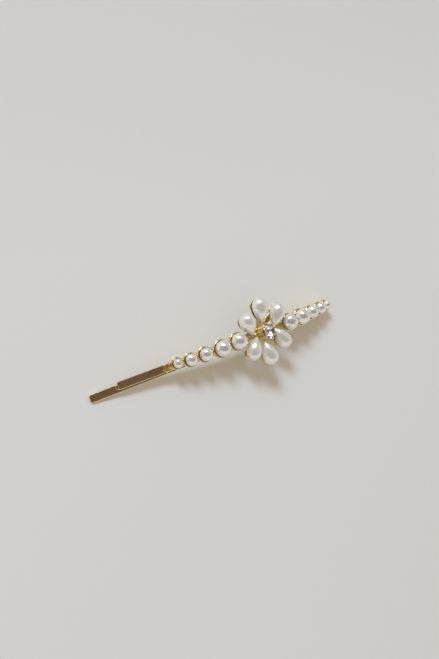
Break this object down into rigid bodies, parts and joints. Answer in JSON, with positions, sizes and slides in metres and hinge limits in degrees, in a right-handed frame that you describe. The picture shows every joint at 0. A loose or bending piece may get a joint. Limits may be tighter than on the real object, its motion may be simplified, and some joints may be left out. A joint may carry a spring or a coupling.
{
  "type": "decorative hair pin",
  "caption": "Arched two-legged spring hair pin with a row of graduated pearls in round cups and a six-petal pearl flower around a claw-set clear stone.",
  "frame": {"origin": "centre of the bounding box at its bottom, on the surface that the pin stands on with its two ends", "axes": "+X along the pin from the open end of its legs to its bend, +Y across the strip, +Z out of the decorated face"},
  "size_m": [0.074, 0.0166, 0.0112],
  "materials": {
    "strip_gold": "bright gold plating on a spring strip",
    "setting_gold": "bright gold plating on cast and turned settings",
    "pearl": "white imitation pearl lacquer with a soft lustre",
    "crystal": "clear cut glass",
    "foil": "silver foil behind the stone"
  },
  "bodies": {
    "lower_half": {"lower_leg": "strip_gold", "spring_bend": "strip_gold"},
    "upper_half": {"carrier_bar": "setting_gold", "claw_cup": "setting_gold", "claws": "setting_gold", "flower_base": "setting_gold", "link_necks_bend": "setting_gold", "link_necks_open": "setting_gold", "pearl_bend_1": "pearl", "pearl_bend_2": "pearl", "pearl_bend_3": "pearl", "pearl_bend_4": "pearl", "pearl_bend_5": "pearl", "pearl_cup_bend_1": "setting_gold", "pearl_cup_bend_2": "setting_gold", "pearl_cup_bend_3": "setting_gold", "pearl_cup_bend_4": "setting_gold", "pearl_cup_bend_5": "setting_gold", "pearl_cup_open_1": "setting_gold", "pearl_cup_open_2": "setting_gold", "pearl_cup_open_3": "setting_gold", "pearl_cup_open_4": "setting_gold", "pearl_cup_open_5": "setting_gold", "pearl_open_1": "pearl", "pearl_open_2": "pearl", "pearl_open_3": "pearl", "pearl_open_4": "pearl", "pearl_open_5": "pearl", "pearl_pegs": "setting_gold", "petal_pearl_1": "pearl", "petal_pearl_2": "pearl", "petal_pearl_3": "pearl", "petal_pearl_4": "pearl", "petal_pearl_5": "pearl", "petal_pearl_6": "pearl", "petal_pegs": "setting_gold", "petal_tray_1": "setting_gold", "petal_tray_2": "setting_gold", "petal_tray_3": "setting_gold", "petal_tray_4": "setting_gold", "petal_tray_5": "setting_gold", "petal_tray_6": "setting_gold", "stone": "crystal", "stone_foil": "foil", "upper_leg": "strip_gold"}
  },
  "joints": [
    {"name": "pin_open", "type": "hinge", "parent": "lower_half", "child": "upper_half", "pos_m": [0.03629, -0.00014, 0.00152], "axis": [0, 1, 0], "range_deg": [0, 10], "stiffness_Nm_per_rad": 0.25, "springref_deg": -3.44}
  ]
}
